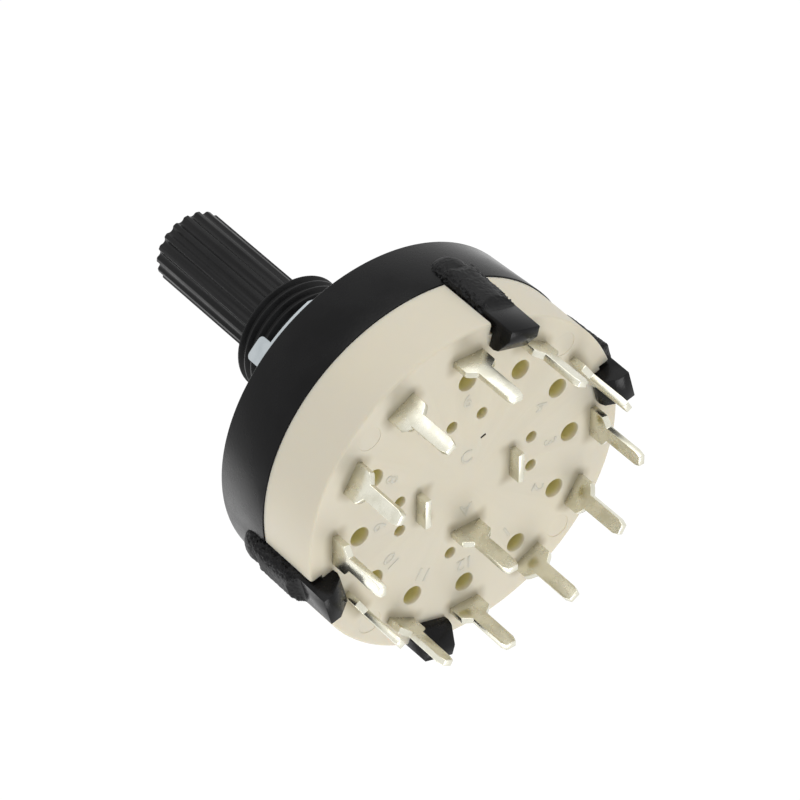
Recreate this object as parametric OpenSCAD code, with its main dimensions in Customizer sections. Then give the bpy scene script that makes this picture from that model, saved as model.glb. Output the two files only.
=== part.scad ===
// Panel and board mounted rotary wafer switch: one pole, twelve positions.
// The axis lies along Y, with the shaft towards -Y and the solder pins towards +Y.
// The origin is where the axis meets the panel, on the front of the stop ring.
// Every piece is drawn along +z, from the panel to the pins, and then laid down.

/* [Shaft] */
// Diameter over the knurl of the shaft
shaft_d = 6; // [5.8:0.1:6.2]
// Length of knurl that stands out of the bushing
knurl_len = 12.2; // [8:0.1:18]
// Number of teeth round the knurl
knurl_teeth = 18; // [12:1:20]
// Depth of the grooves between the teeth
knurl_depth = 0.24; // [0.1:0.02:0.4]
// Width of one groove's round cutter
knurl_cut_d = 0.72; // [0.5:0.02:0.8]
// Chamfer at the tip of the shaft
tip_chamfer = 0.1; // [0.05:0.05:0.6]
// Diameter of the rear pivot
pivot_d = 3; // [2:0.1:3.6]

/* [Bushing] */
// Diameter over the thread
bush_d = 9.3; // [8.6:0.1:10]
// Length of bushing in front of the panel
bush_len = 9.3; // [6:0.1:12]
// Chamfer at the mouth of the bushing
bush_chamfer = 0.15; // [0.1:0.05:0.3]
// Pitch of the thread
thread_pitch = 0.75; // [0.5:0.05:1]
// Depth of the neck under the stop ring
neck_depth = 0.2; // [0.1:0.05:0.4]

/* [Front housing] */
// Diameter of the cap at its front
cap_front_d = 26.5; // [26:0.1:27.5]
// Diameter of the cap at its rear rim
cap_rim_d = 27; // [26.6:0.1:28]
// Length of the cap
cap_len = 5.25; // [5:0.05:7]
// Thickness of the front wall
front_wall = 2; // [1.6:0.1:2.6]
// Depth of the channel that the stop tab and the stop nub run in
stop_channel = 0.9; // [0.6:0.1:1.1]
// Round at the cap's front edge
cap_edge = 0.1; // [0.1:0.05:0.8]

/* [Snap hooks] */
// Width of each hook at its root
hook_w = 2.9; // [2.6:0.1:3.6]
// Width of each hook at its head
hook_tip_w = 2.5; // [2:0.1:2.6]
// Angle from the hooks' line of symmetry to each hook
hook_spread = 30; // [24:1:36]
// Radial thickness of the arm where it lies in the wafer's groove
hook_root_t = 0.9; // [0.5:0.05:1]
// How far the arm bulges out past the cap's rim
hook_bulge = 0.85; // [0.3:0.05:1]
// How far the beak reaches in over the wafer
hook_reach = 1.95; // [1.2:0.05:2.4]
// Height of the hook's head above the wafer
hook_rise = 1.75; // [1.6:0.05:3]
// Height of the blunt nose of the beak
hook_nose = 0.9; // [0.5:0.05:1.2]

/* [Wafer] */
// Diameter of the wafer at the cap's rim
wafer_d = 26.8; // [26.4:0.1:27.4]
// Length of wafer that shows
wafer_len = 5.2; // [4.8:0.1:7]
// Thickness of the wafer's floor
wafer_floor = 2.45; // [2:0.05:2.8]
// How much narrower the wafer is at its back face
wafer_draft = 0.05; // [0:0.05:0.6]
// Round at the edge of the back face
wafer_edge = 0.15; // [0.1:0.05:0.9]
// Wall of the spigot that centres the wafer in the cap
spigot_wall = 0.65; // [0.5:0.05:0.8]
// Length of the spigot
spigot_len = 1.5; // [0.8:0.1:1.8]
// Diameter of the core pin hole behind each terminal's foot
core_hole_d = 1.6; // [1:0.1:2]
// Radius of the circle of those holes
core_circle_r = 9.14; // [8.8:0.02:9.6]
// Diameter of the core pin holes behind the common ring
ring_hole_d = 1; // [0.6:0.1:1.4]
// Half angle between the two holes of each pair
ring_hole_spread = 12.75; // [9:0.25:18]

/* [Terminals] */
// Radius of the circle on which the terminals stand
terminal_circle_r = 11.2; // [10.9:0.05:11.3]
// Thickness of the blades
blade_t = 0.5; // [0.3:0.05:0.6]
// Width of a blade at its shoulder
shoulder_w = 2.5; // [2:0.1:3]
// Height of the square shoulder above the wafer
shoulder_h = 1.3; // [0.6:0.1:2]
// Height over which the shoulder slopes in to the pin
shoulder_slope = 0.5; // [0.3:0.05:1]
// Width of a pin
pin_w = 1.14; // [0.8:0.02:1.4]
// Height of a pin above the wafer
pin_h = 5.4; // [4:0.1:8]
// Height of the chamfer at a pin's tip
pin_tip = 0.5; // [0.2:0.05:0.8]
// Width of the flat at a pin's tip
pin_tip_w = 0.8; // [0.4:0.05:0.8]
// Thickness of a terminal's foot and of the common ring
foot_t = 0.4; // [0.3:0.05:0.5]
// Width of a terminal's foot
foot_w = 2.4; // [2:0.1:2.8]
// Radius to which a foot reaches in
foot_r = 8; // [7.8:0.1:8.2]

/* [Common ring] */
// Mean radius of the common ring
ring_mean_r = 5.85; // [5.7:0.05:5.9]
// Width of the common ring
ring_w = 2; // [1.6:0.1:2.2]
// Radius at which its legs stand
leg_r = 4.05; // [3.9:0.05:4.2]
// Height to which the unused legs are cropped
stub_h = 1.05; // [0.3:0.05:2]

/* [Rotor] */
// Thickness of the shaft's hub
hub_t = 3.5; // [3.3:0.1:4]
// Radial gap between the hub and the detent's crests
hub_gap = 0.6; // [0.4:0.05:1]
// Width across the square that drives the contact carrier
drive_w = 5; // [4.6:0.1:5.2]
// Radial gap between the contact carrier and the wafer's spigot
carrier_gap = 0.65; // [0.3:0.05:1]
// Thickness of the contact carrier
carrier_t = 1.9; // [1.7:0.1:2.1]
// Width of the bridging contact
bridge_w = 3; // [2.4:0.1:3.4]
// Thickness of the bridging contact
bridge_t = 0.4; // [0.3:0.05:0.5]
// Radius of the dimples that slide on the wafer
dimple_r = 0.8; // [0.6:0.05:0.9]

/* [Detent] */
// Radius of the crests between the detent's notches
crest_r = 10.2; // [10:0.05:10.3]
// Depth of the notches
notch_depth = 0.4; // [0.2:0.05:0.45]
// Radius of the round cutter of a notch
notch_r = 3; // [2:0.1:4]
// Thickness of the wall behind the notches
notch_wall = 0.55; // [0.4:0.05:0.6]
// Diameter of the detent balls
ball_d = 2.5; // [2:0.1:2.6]
// Radius at which the bores for the springs end
bore_floor_r = 3.6; // [3.4:0.1:4.5]
// Wire diameter of the detent springs
spring_wire_d = 0.3; // [0.2:0.02:0.36]
// Outer diameter of the detent springs
spring_d = 2.2; // [1.6:0.1:2.2]
// Turns in each detent spring
spring_turns = 7; // [4:1:9]

/* [Stop ring] */
// Thickness of the stop ring
stop_ring_t = 1; // [0.6:0.05:1.2]
// Diameter of the stop ring around the bushing
stop_ring_d = 14; // [12.5:0.1:14.4]
// Radius to which its tongue reaches
tongue_r = 12.2; // [11.5:0.1:12.8]
// Width of the tongue
tongue_w = 6.35; // [5:0.05:7]
// Width of the panel lug that is bent forward from the tongue
lug_w = 1.85; // [1.4:0.05:2.5]
// Height of the panel lug
lug_h = 1.05; // [0.8:0.05:2]
// Thickness of the panel lug
lug_t = 0.8; // [0.5:0.05:1]
// Radius of the circle of stop holes
stop_circle_r = 8.4; // [8.2:0.05:8.5]
// Diameter of the stop holes
stop_hole_d = 1.9; // [1.7:0.05:2]
// Width of the stop tab that is bent back into one hole
stop_tab_w = 1.4; // [1:0.05:1.4]

/* [Hidden] */
positions = 12;
pitch = 360 / positions;
poles = 4;

// Clearances
journal_gap = 0.05;
end_gap = 0.1;
mould_gap = 0.02;
groove_gap = 0.1;
crest_gap = 0.02;
nub_gap = 0.25;

// Small forms
mouth_chamfer = 0.4;
channel_half = 1.1;
journal_step = 0.1;
pivot_depth = 1.3;
knurl_sink = 0.5;
thread_collar = 0.35;
hook_root_up = 0.2;
hook_head_over = 0.25;
dimple_rise = 0.35;
touch_inset = 0.34;
bridge_margin = 0.2;
pocket_floor = 0.6;

// Angles, counted from the +x side towards +y when seen from the pins
rest_position = 6;
hook_line = 45;
tongue_angle = -54.3;
stop_tab_angle = 135;
stop_nub_angle = stop_tab_angle - 180 - pitch / 2;
stop_nub_span = 10;
knurl_phase = 15.5;
function terminal_angle(n) = 90 + pitch * n;

// Levels along the axis
shaft_r = shaft_d / 2;
journal_r = shaft_r + journal_step;
tip_z = -bush_len - knurl_len;
knurl_end_z = -bush_len + knurl_sink;
cap_z = stop_ring_t;
wall_z = cap_z + front_wall;
rim_z = cap_z + cap_len;
back_z = rim_z + wafer_len;
floor_z = back_z - wafer_floor;
hub_z = wall_z + end_gap;
hub_end_z = hub_z + hub_t;
carrier_end_z = hub_end_z + carrier_t;
ball_z = hub_z + hub_t / 2;
pivot_end_z = floor_z + pivot_depth;

// Radii across the axis
bush_r = bush_d / 2;
cap_front_r = cap_front_d / 2;
cap_rim_r = cap_rim_d / 2;
wafer_r = wafer_d / 2;
wafer_back_r = (wafer_d - wafer_draft) / 2;
spigot_in_r = crest_r + notch_depth + notch_wall + groove_gap;
spigot_out_r = spigot_in_r + spigot_wall;
hub_r = crest_r - hub_gap;
ball_r = ball_d / 2;
ball_at_r = crest_r - crest_gap - ball_r;
carrier_r = spigot_in_r - carrier_gap;
stop_ring_r = stop_ring_d / 2;
ring_in_r = ring_mean_r - ring_w / 2;
ring_out_r = ring_mean_r + ring_w / 2;
hook_in_r = wafer_back_r - hook_root_t;
hook_out_r = cap_rim_r + hook_bulge;
hook_head_r = wafer_back_r + hook_head_over;
hook_beak_r = wafer_back_r - hook_reach;
hook_root_z = wall_z + hook_root_up;
hook_top_z = back_z + hook_rise;
hook_base_z = back_z + mould_gap;

// Bridging contact, which spans from the common ring to a terminal's foot
foot_touch_r = core_circle_r - touch_inset;
bridge_mid_r = (ring_mean_r + foot_touch_r) / 2;
bridge_len = foot_touch_r - ring_mean_r + 2 * (dimple_r + bridge_margin);
dimple_z = floor_z - crest_gap;
bridge_z = dimple_z - bridge_t - dimple_rise;
pocket_z = hub_end_z + pocket_floor;
contact_spring_d = 2.4;
contact_wire_d = 0.2;
contact_spring_turns = 3;

smooth = 96;
middling = 48;
small = 32;
cut = 0.5;
spare = 0.1;

terminal_names = [for (n = [1:positions]) str("terminal_", n < 10 ? "0" : "", n)];

black = "#1d1d1e";
cream = "#ddd4c0";
tin = "#d5d2c6";
zinc = "#c4c8cb";
bronze = "#b9884a";
steel = "#b4b7ba";

// Lays a piece that is drawn along +z down along +Y
module laid() {
    rotate([-90, 0, 0]) children();
}

// Turns children about the axis, with their +x side pointing out at an angle
module around(angle) {
    rotate([0, 0, angle]) children();
}

module tube(outer, inner, z0, z1) {
    difference() {
        translate([0, 0, z0]) cylinder(r = outer, h = z1 - z0, $fn = smooth);
        translate([0, 0, z0 - cut]) cylinder(r = inner, h = z1 - z0 + 2 * cut, $fn = smooth);
    }
}

// A bar from radius r0 to r1, of a width across and between two levels
module bar(r0, r1, width, z0, z1) {
    translate([r0, -width / 2, z0]) cube([r1 - r0, width, z1 - z0]);
}

// A coil of round wire that stands on z = 0
module coil(outer_d, wire_d, length, turns) {
    sides = 6;
    steps = 14;
    count = turns * steps;
    mean_r = (outer_d - wire_d) / 2;
    climb = (length - wire_d) / count;
    points = [for (k = [0:count], i = [0:sides - 1])
        let (a = 360 * k / steps, b = 360 * i / sides, r = mean_r + cos(b) * wire_d / 2)
        [r * cos(a), r * sin(a), wire_d / 2 + climb * k + sin(b) * wire_d / 2]];
    walls = [for (k = [0:count - 1], i = [0:sides - 1])
        let (j = (i + 1) % sides)
        [k * sides + i, (k + 1) * sides + i, (k + 1) * sides + j, k * sides + j]];
    near_end = [for (i = [0:sides - 1]) i];
    far_end = [for (i = [sides - 1:-1:0]) count * sides + i];
    polyhedron(points = points, faces = concat(walls, [near_end, far_end]));
}

// Side view of a hook: radius across, level up
module hook_side() {
    brow = 0.6;
    swell = 1.2;
    bulge_from = 1;
    bulge_to = 2.2;
    waist = 1.4;
    lead_in = 1.35;
    ease = 0.15;
    polygon([
        [hook_in_r, hook_root_z - spare],
        [cap_front_r - spare, hook_root_z - spare],
        [hook_out_r - brow, hook_root_z + brow / 2],
        [hook_out_r - 2 * ease, hook_root_z + swell],
        [hook_out_r + spare, rim_z + bulge_from],
        [hook_out_r + spare, back_z - bulge_to],
        [hook_out_r - ease, back_z - waist - ease],
        [hook_head_r, back_z - waist],
        [hook_head_r, hook_top_z],
        [hook_beak_r + lead_in, hook_top_z],
        [hook_beak_r + ease, hook_base_z + hook_nose],
        [hook_beak_r, hook_base_z + hook_nose / 2],
        [hook_beak_r + ease / 3, hook_base_z],
        [hook_in_r, hook_base_z]
    ]);
}

// Back view of a hook, which narrows from a round root to its head
module hook_back() {
    half = (hook_w + spare) / 2;
    tip = hook_tip_w / 2;
    translate([0, hook_root_z + half]) circle(r = half, $fn = small);
    polygon([[-half, hook_root_z + half], [half, hook_root_z + half],
        [tip, hook_top_z + cut], [-tip, hook_top_z + cut]]);
}

// Section across a hook's arm, with round outer corners
module hook_section() {
    corner = 0.6;
    depth = hook_out_r - hook_beak_r + spare;
    translate([hook_out_r - depth, -hook_w / 2]) square([depth - corner, hook_w]);
    translate([hook_out_r - corner, corner - hook_w / 2]) square([corner, hook_w - 2 * corner]);
    for (side = [-1, 1])
        translate([hook_out_r - corner, side * (hook_w / 2 - corner)]) circle(r = corner, $fn = small);
}

// A hook is what its three views share
module hook() {
    intersection() {
        rotate([90, 0, 0]) translate([0, 0, -hook_w]) linear_extrude(2 * hook_w) hook_side();
        rotate([90, 0, 90]) linear_extrude(hook_out_r + cut) hook_back();
        linear_extrude(hook_top_z + cut) hook_section();
    }
}

module at_hooks() {
    for (side = [0, 180], turn = [-hook_spread, hook_spread])
        around(hook_line + side + turn) children();
}

// Cup with a round front edge
module cap_shell() {
    translate([0, 0, cap_z]) rotate_extrude($fn = smooth) union() {
        polygon([[0, 0], [cap_front_r - cap_edge, 0], [cap_front_r - cap_edge, cap_edge],
            [cap_front_r, cap_edge], [cap_rim_r, cap_len], [0, cap_len]]);
        translate([cap_front_r - cap_edge, cap_edge]) circle(r = cap_edge, $fn = small);
    }
}

// Bushing whose thread is drawn as plain rings, with a collar at its foot
module bushing() {
    first_z = -bush_len + bush_chamfer;
    crest = thread_pitch / 8;
    depth = thread_pitch * 0.54;
    flank = depth * tan(30);
    root_r = bush_r - depth;
    rings = floor((-thread_collar - first_z) / thread_pitch);
    ridges = [for (k = [0:rings - 1])
        let (z = first_z + k * thread_pitch)
        each [[bush_r, z], [bush_r, z + crest], [root_r, z + crest + flank],
            [root_r, k < rings - 1 ? z + thread_pitch - flank : -thread_collar - flank]]];
    rotate_extrude($fn = smooth) polygon(concat(
        [[0, -bush_len], [bush_r - bush_chamfer, -bush_len]],
        ridges,
        [[bush_r, -thread_collar], [bush_r, 0], [bush_r - neck_depth, 0],
            [bush_r - neck_depth, stop_ring_t + cut], [0, stop_ring_t + cut]]));
}

// Cap, threaded bushing and snap hooks, moulded as one
module front_housing() {
    bore_r = journal_r + journal_gap;
    color(black) difference() {
        union() {
            cap_shell();
            bushing();
            at_hooks() hook();
        }
        // shaft bore with a chamfered mouth
        translate([0, 0, -bush_len - cut])
            cylinder(r = bore_r, h = bush_len + wall_z + 2 * cut, $fn = smooth);
        translate([0, 0, -bush_len])
            cylinder(r1 = bore_r + mouth_chamfer, r2 = bore_r, h = mouth_chamfer, $fn = smooth);
        // room for the rotor, with a notch for every position
        translate([0, 0, wall_z]) cylinder(r = crest_r, h = cap_len, $fn = smooth);
        for (k = [0:positions - 1]) around(k * pitch)
            translate([crest_r + notch_depth - notch_r, 0, hub_z])
                cylinder(r = notch_r, h = cap_len, $fn = smooth);
        // groove for the wafer's spigot
        tube(spigot_out_r + groove_gap, spigot_in_r - groove_gap,
            rim_z - spigot_len - groove_gap, rim_z + cut);
        // channel and holes for the stop
        tube(stop_circle_r + channel_half, stop_circle_r - channel_half,
            wall_z - stop_channel, wall_z + cut);
        for (k = [0:positions - 1]) around((k + 0.5) * pitch)
            translate([stop_circle_r, 0, cap_z - cut])
                cylinder(d = stop_hole_d, h = front_wall - stop_channel / 2 + cut, $fn = small);
    }
}

// Zinc plated ring with a tongue that carries a panel lug, and a tab for one stop hole
module stop_ring() {
    side = tongue_w / 2;
    tongue_ease = 0.95;
    lug_top = 0.35;
    lug_sag = 0.3;
    color(zinc) {
        difference() {
            union() {
                cylinder(r = stop_ring_r, h = stop_ring_t, $fn = smooth);
                around(tongue_angle) intersection() {
                    translate([0, 0, -cut]) linear_extrude(stop_ring_t + 2 * cut)
                        polygon([[0, -side], [tongue_r - tongue_ease, -side], [tongue_r, tongue_ease - side],
                            [tongue_r, side], [0, side]]);
                    cylinder(r = tongue_r, h = stop_ring_t, $fn = smooth);
                }
                around(stop_tab_angle)
                    bar(0, stop_circle_r + stop_ring_t / 2, stop_tab_w, 0, stop_ring_t);
            }
            translate([0, 0, -cut])
                cylinder(r = bush_r + groove_gap, h = stop_ring_t + 2 * cut, $fn = smooth);
        }
        around(tongue_angle) intersection() {
            translate([tongue_r - lug_t - lug_sag, side, 0]) rotate([0, 90, 0])
                linear_extrude(lug_t + lug_sag)
                polygon([[-stop_ring_t / 2, 0], [lug_h - lug_top, 0], [lug_h, -lug_top],
                    [lug_h, lug_top - lug_w], [lug_h - lug_top, -lug_w], [-stop_ring_t / 2, -lug_w]]);
            tube(tongue_r, tongue_r - lug_t, -lug_h - cut, stop_ring_t);
        }
        around(stop_tab_angle)
            bar(stop_circle_r - stop_ring_t / 2, stop_circle_r + stop_ring_t / 2, stop_tab_w,
                0, wall_z - end_gap);
    }
}

module knurl() {
    length = knurl_end_z - tip_z;
    difference() {
        union() {
            translate([0, 0, tip_z])
                cylinder(r1 = shaft_r - tip_chamfer, r2 = shaft_r, h = tip_chamfer, $fn = smooth);
            translate([0, 0, tip_z + tip_chamfer])
                cylinder(r = shaft_r, h = length - tip_chamfer, $fn = smooth);
        }
        for (k = [0:knurl_teeth - 1]) around(knurl_phase + (k + 0.5) * 360 / knurl_teeth)
            translate([shaft_r - knurl_depth + knurl_cut_d / 2, 0, tip_z - cut])
                cylinder(d = knurl_cut_d, h = length + cut, $fn = small);
    }
}

// Knurled shaft with the hub that carries the detent
module shaft() {
    color(black) {
        knurl();
        difference() {
            union() {
                translate([0, 0, knurl_end_z])
                    cylinder(r = journal_r, h = hub_z - knurl_end_z + cut, $fn = smooth);
                translate([0, 0, hub_z]) cylinder(r = hub_r, h = hub_t, $fn = smooth);
                stop_nub();
            }
            for (side = [90, 270]) around(side) translate([bore_floor_r, 0, ball_z]) rotate([0, 90, 0])
                cylinder(r = ball_r + journal_gap, h = hub_r, $fn = small);
        }
        bar(-drive_w / 2, drive_w / 2, drive_w, hub_end_z, carrier_end_z);
        translate([0, 0, carrier_end_z])
            cylinder(d = pivot_d, h = pivot_end_z - carrier_end_z, $fn = smooth);
    }
}

// Nub on the hub's front that meets the stop tab at both ends of the travel
module stop_nub() {
    nub_z = wall_z - stop_channel + end_gap;
    nub_half = channel_half - nub_gap;
    nub_w = 2 * stop_circle_r * tan(stop_nub_span / 2);
    around(stop_nub_angle)
        bar(stop_circle_r - nub_half, stop_circle_r + nub_half, nub_w, nub_z, hub_z + cut);
}

// Moulded disc on the drive square, with a pocket for the contact and its spring
module contact_carrier() {
    color(cream) difference() {
        translate([0, 0, hub_end_z]) cylinder(r = carrier_r, h = carrier_t, $fn = smooth);
        bar(-drive_w / 2 - mould_gap, drive_w / 2 + mould_gap, drive_w + 2 * mould_gap,
            hub_end_z - cut, carrier_end_z + cut);
        around(terminal_angle(rest_position))
            bar(bridge_mid_r - bridge_len / 2 - mould_gap, bridge_mid_r + bridge_len / 2 + mould_gap,
                bridge_w + 2 * mould_gap, pocket_z, carrier_end_z + cut);
    }
}

// Plate with two dimples that joins the common ring to one terminal
module bridging_contact() {
    color(bronze) around(terminal_angle(rest_position)) {
        bar(bridge_mid_r - bridge_len / 2, bridge_mid_r + bridge_len / 2, bridge_w,
            bridge_z, bridge_z + bridge_t);
        intersection() {
            for (r = [ring_mean_r, foot_touch_r])
                translate([r, 0, dimple_z - dimple_r]) sphere(r = dimple_r, $fn = small);
            bar(ring_mean_r - 2 * dimple_r, foot_touch_r + 2 * dimple_r, bridge_w,
                bridge_z + bridge_t / 2, dimple_z + cut);
        }
    }
}

// Spring that presses the bridging contact onto the wafer
module contact_spring() {
    color(steel) around(terminal_angle(rest_position))
        translate([bridge_mid_r, 0, pocket_z + mould_gap])
            coil(contact_spring_d, contact_wire_d, bridge_z - pocket_z - 2 * mould_gap, contact_spring_turns);
}

// Ball that the shaft's hub carries past the notches
module detent_ball(angle) {
    color(steel) around(angle) translate([ball_at_r, 0, ball_z]) sphere(r = ball_r, $fn = middling);
}

// Spring behind one ball; its last turn lies against the ball's round back
module detent_spring(angle) {
    mean_r = (spring_d - spring_wire_d) / 2;
    touch = ball_r + spring_wire_d / 2;
    end_r = ball_at_r - sqrt(touch * touch - mean_r * mean_r) + spring_wire_d / 2;
    color(steel) around(angle) translate([bore_floor_r + mould_gap, 0, ball_z]) rotate([0, 90, 0])
        coil(spring_d, spring_wire_d, end_r - bore_floor_r - 2 * mould_gap, spring_turns);
}

// Outline of a blade, flat against the wafer's floor at y = 0, with its pin up
module blade_outline(top) {
    base = back_z - floor_z;
    half = shoulder_w / 2;
    pin = pin_w / 2;
    ease = 0.2;
    intersection() {
        polygon([
            [-half, 0], [half, 0],
            [half, base + shoulder_h], [half - ease, base + shoulder_h + ease],
            [pin, base + shoulder_h + shoulder_slope],
            [pin, base + pin_h - pin_tip], [pin_tip_w / 2, base + pin_h],
            [-pin_tip_w / 2, base + pin_h], [-pin, base + pin_h - pin_tip],
            [-pin, base + shoulder_h + shoulder_slope],
            [-half + ease, base + shoulder_h + ease], [-half, base + shoulder_h]
        ]);
        translate([-half, 0]) square([shoulder_w, base + top]);
    }
}

// A blade with its flat sides across the radius, its middle at radius r
module blade(r, top) {
    translate([r - blade_t / 2, 0, floor_z]) rotate([90, 0, 90])
        linear_extrude(blade_t) blade_outline(top);
}

// Solder pin with a shoulder, and a foot on the wafer's inner face
module terminal(n) {
    color(tin) around(terminal_angle(n)) {
        blade(terminal_circle_r, pin_h);
        bar(foot_r, terminal_circle_r, foot_w, floor_z, floor_z + foot_t);
    }
}

// Slip ring with one solder pin; its other legs are cropped short or off
module common_ring() {
    color(tin) {
        tube(ring_out_r, ring_in_r, floor_z, floor_z + foot_t);
        for (leg = [[90, pin_h], [0, stub_h], [180, stub_h]]) around(leg[0]) {
            blade(leg_r, leg[1]);
            bar(leg_r, ring_mean_r, foot_w, floor_z, floor_z + foot_t);
        }
    }
}

// Room that the moulding leaves round a blade and its foot
module blade_room(r, foot_from, foot_to) {
    bar(r - blade_t / 2 - mould_gap, r + blade_t / 2 + mould_gap, shoulder_w + 2 * mould_gap,
        floor_z - cut, back_z + cut);
    bar(foot_from - mould_gap, foot_to + mould_gap, foot_w + 2 * mould_gap,
        floor_z - cut, floor_z + foot_t + mould_gap);
}

// Cream moulding that holds the terminals and closes the cap
module wafer() {
    color(cream) difference() {
        union() {
            translate([0, 0, rim_z]) rotate_extrude($fn = smooth) union() {
                polygon([[0, 0], [wafer_r, 0], [wafer_back_r, wafer_len - wafer_edge],
                    [wafer_back_r - wafer_edge, wafer_len - wafer_edge],
                    [wafer_back_r - wafer_edge, wafer_len], [0, wafer_len]]);
                translate([wafer_back_r - wafer_edge, wafer_len - wafer_edge])
                    circle(r = wafer_edge, $fn = small);
            }
            translate([0, 0, rim_z - spigot_len])
                cylinder(r = spigot_out_r, h = spigot_len + cut, $fn = smooth);
        }
        translate([0, 0, rim_z - spigot_len - cut])
            cylinder(r = spigot_in_r, h = floor_z - rim_z + spigot_len + cut, $fn = smooth);
        // blind bearing for the shaft's pivot
        translate([0, 0, floor_z - cut])
            cylinder(d = pivot_d + 2 * journal_gap, h = pivot_end_z - floor_z + cut + end_gap, $fn = smooth);
        // rooms for the terminals and the common ring
        for (n = [1:positions]) around(terminal_angle(n))
            blade_room(terminal_circle_r, foot_r, terminal_circle_r);
        tube(ring_out_r + mould_gap, ring_in_r - mould_gap, floor_z - cut, floor_z + foot_t + mould_gap);
        for (angle = [90, 0, 180]) around(angle) blade_room(leg_r, leg_r, ring_mean_r);
        // core pin holes
        for (n = [1:positions]) around(terminal_angle(n)) core_hole(core_circle_r, core_hole_d);
        for (k = [0:poles - 1], side = [-1, 1]) around(k * 360 / poles + side * ring_hole_spread)
            core_hole(ring_mean_r, ring_hole_d);
        // grooves for the hooks' arms
        at_hooks() bar(hook_in_r - groove_gap, wafer_r + cut, hook_w + 2 * groove_gap,
            rim_z - cut, back_z + cut);
    }
}

module core_hole(r, d) {
    translate([r, 0, floor_z + foot_t]) cylinder(d = d, h = wafer_floor, $fn = small);
}

laid() front_housing();
laid() stop_ring();
laid() shaft();
laid() contact_carrier();
laid() bridging_contact();
laid() contact_spring();
laid() detent_ball(90);  // detent_ball_1
laid() detent_ball(270);  // detent_ball_2
laid() detent_spring(90);  // detent_spring_1
laid() detent_spring(270);  // detent_spring_2
laid() wafer();
laid() common_ring();
for (n = [1:positions]) {
    laid() terminal(n);
}
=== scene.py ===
# Looks of a rotary wafer switch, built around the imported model.
# Pieces are drawn in millimetres and degrees, along +Z from the panel to the pins. Each is then
# laid along +Y in metres, which is the way the model's own axis runs.
import math

import bmesh
import bpy
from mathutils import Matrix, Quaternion, Vector


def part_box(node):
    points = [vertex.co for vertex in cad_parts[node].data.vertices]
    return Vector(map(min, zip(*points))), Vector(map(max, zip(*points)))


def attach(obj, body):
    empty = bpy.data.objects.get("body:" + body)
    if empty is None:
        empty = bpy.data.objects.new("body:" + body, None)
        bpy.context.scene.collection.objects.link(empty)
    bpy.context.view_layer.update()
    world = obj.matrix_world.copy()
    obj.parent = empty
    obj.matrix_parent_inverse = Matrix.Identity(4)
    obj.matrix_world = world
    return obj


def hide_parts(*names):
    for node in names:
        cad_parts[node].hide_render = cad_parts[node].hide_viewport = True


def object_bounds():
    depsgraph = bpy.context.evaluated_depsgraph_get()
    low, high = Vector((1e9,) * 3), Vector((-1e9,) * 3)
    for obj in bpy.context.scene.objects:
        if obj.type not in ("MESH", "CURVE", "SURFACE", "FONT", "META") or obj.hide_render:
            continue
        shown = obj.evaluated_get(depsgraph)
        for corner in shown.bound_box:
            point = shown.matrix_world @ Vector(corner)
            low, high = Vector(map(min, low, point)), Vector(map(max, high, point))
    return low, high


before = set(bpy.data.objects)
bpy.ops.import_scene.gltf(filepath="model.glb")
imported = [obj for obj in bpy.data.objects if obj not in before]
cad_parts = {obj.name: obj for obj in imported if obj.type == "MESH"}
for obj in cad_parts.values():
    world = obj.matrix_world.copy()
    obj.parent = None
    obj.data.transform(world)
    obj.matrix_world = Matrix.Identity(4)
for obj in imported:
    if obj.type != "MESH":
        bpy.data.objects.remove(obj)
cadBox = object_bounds()
mm = 0.001
weld = 0.0005  # points closer than this are one
past = 1  # how far a cutter reaches past what it cuts
positions = 12
stepAngle = 360 / positions
print("frame loaded with", len(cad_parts), "nodes")


def levelOf(node, end):  # where a node starts (0) or ends (1) along the axis
    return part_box(node)[end].y / mm


# modelling helpers

def clearSelection():
    if bpy.context.mode != "OBJECT":
        bpy.ops.object.mode_set(mode="OBJECT")
    bpy.ops.object.select_all(action="DESELECT")


def takeUp(piece):
    clearSelection()
    piece.select_set(True)
    bpy.context.view_layer.objects.active = piece


def settle(piece):  # takes the place, turn and scale of a piece into its mesh
    takeUp(piece)
    bpy.ops.object.transform_apply(location=True, rotation=True, scale=True)
    return piece


def openPiece(piece):
    takeUp(piece)
    bpy.ops.object.mode_set(mode="EDIT")
    bpy.ops.mesh.select_mode(type="VERT")
    bpy.ops.mesh.select_all(action="DESELECT")


def pickFaces(piece, test):  # selects the faces whose middle and normal pass the test
    bpy.ops.mesh.select_mode(type="FACE")
    bpy.ops.mesh.select_all(action="DESELECT")
    shape = bmesh.from_edit_mesh(piece.data)
    for face in shape.faces:
        face.select_set(test(face.calc_center_median(), face.normal))
    bmesh.update_edit_mesh(piece.data)


def arc(middle, radius, start, end, steps):
    angles = [math.radians(start + (end - start) * k / steps) for k in range(steps + 1)]
    return [(middle[0] + radius * math.cos(a), middle[1] + radius * math.sin(a)) for a in angles]


def traceOutline(name, points, flat=False, closed=True):  # one vertex drawn out from point to point
    spots = [Vector((x, y, 0)) if flat else Vector((x, 0, y)) for x, y in points]
    clearSelection()
    bpy.ops.mesh.primitive_plane_add(size=1)
    piece = bpy.context.object
    piece.name = piece.data.name = name
    bpy.ops.object.mode_set(mode="EDIT")
    bpy.ops.mesh.select_mode(type="VERT")
    bpy.ops.mesh.select_all(action="SELECT")
    bpy.ops.mesh.merge(type="CENTER")
    bpy.ops.transform.translate(value=spots[0])
    for here, there in zip(spots, spots[1:] + (spots[:1] if closed else [])):
        bpy.ops.mesh.extrude_region_move(TRANSFORM_OT_translate={"value": there - here})
    bpy.ops.mesh.select_all(action="SELECT")
    bpy.ops.mesh.remove_doubles(threshold=weld)
    return piece


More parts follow.
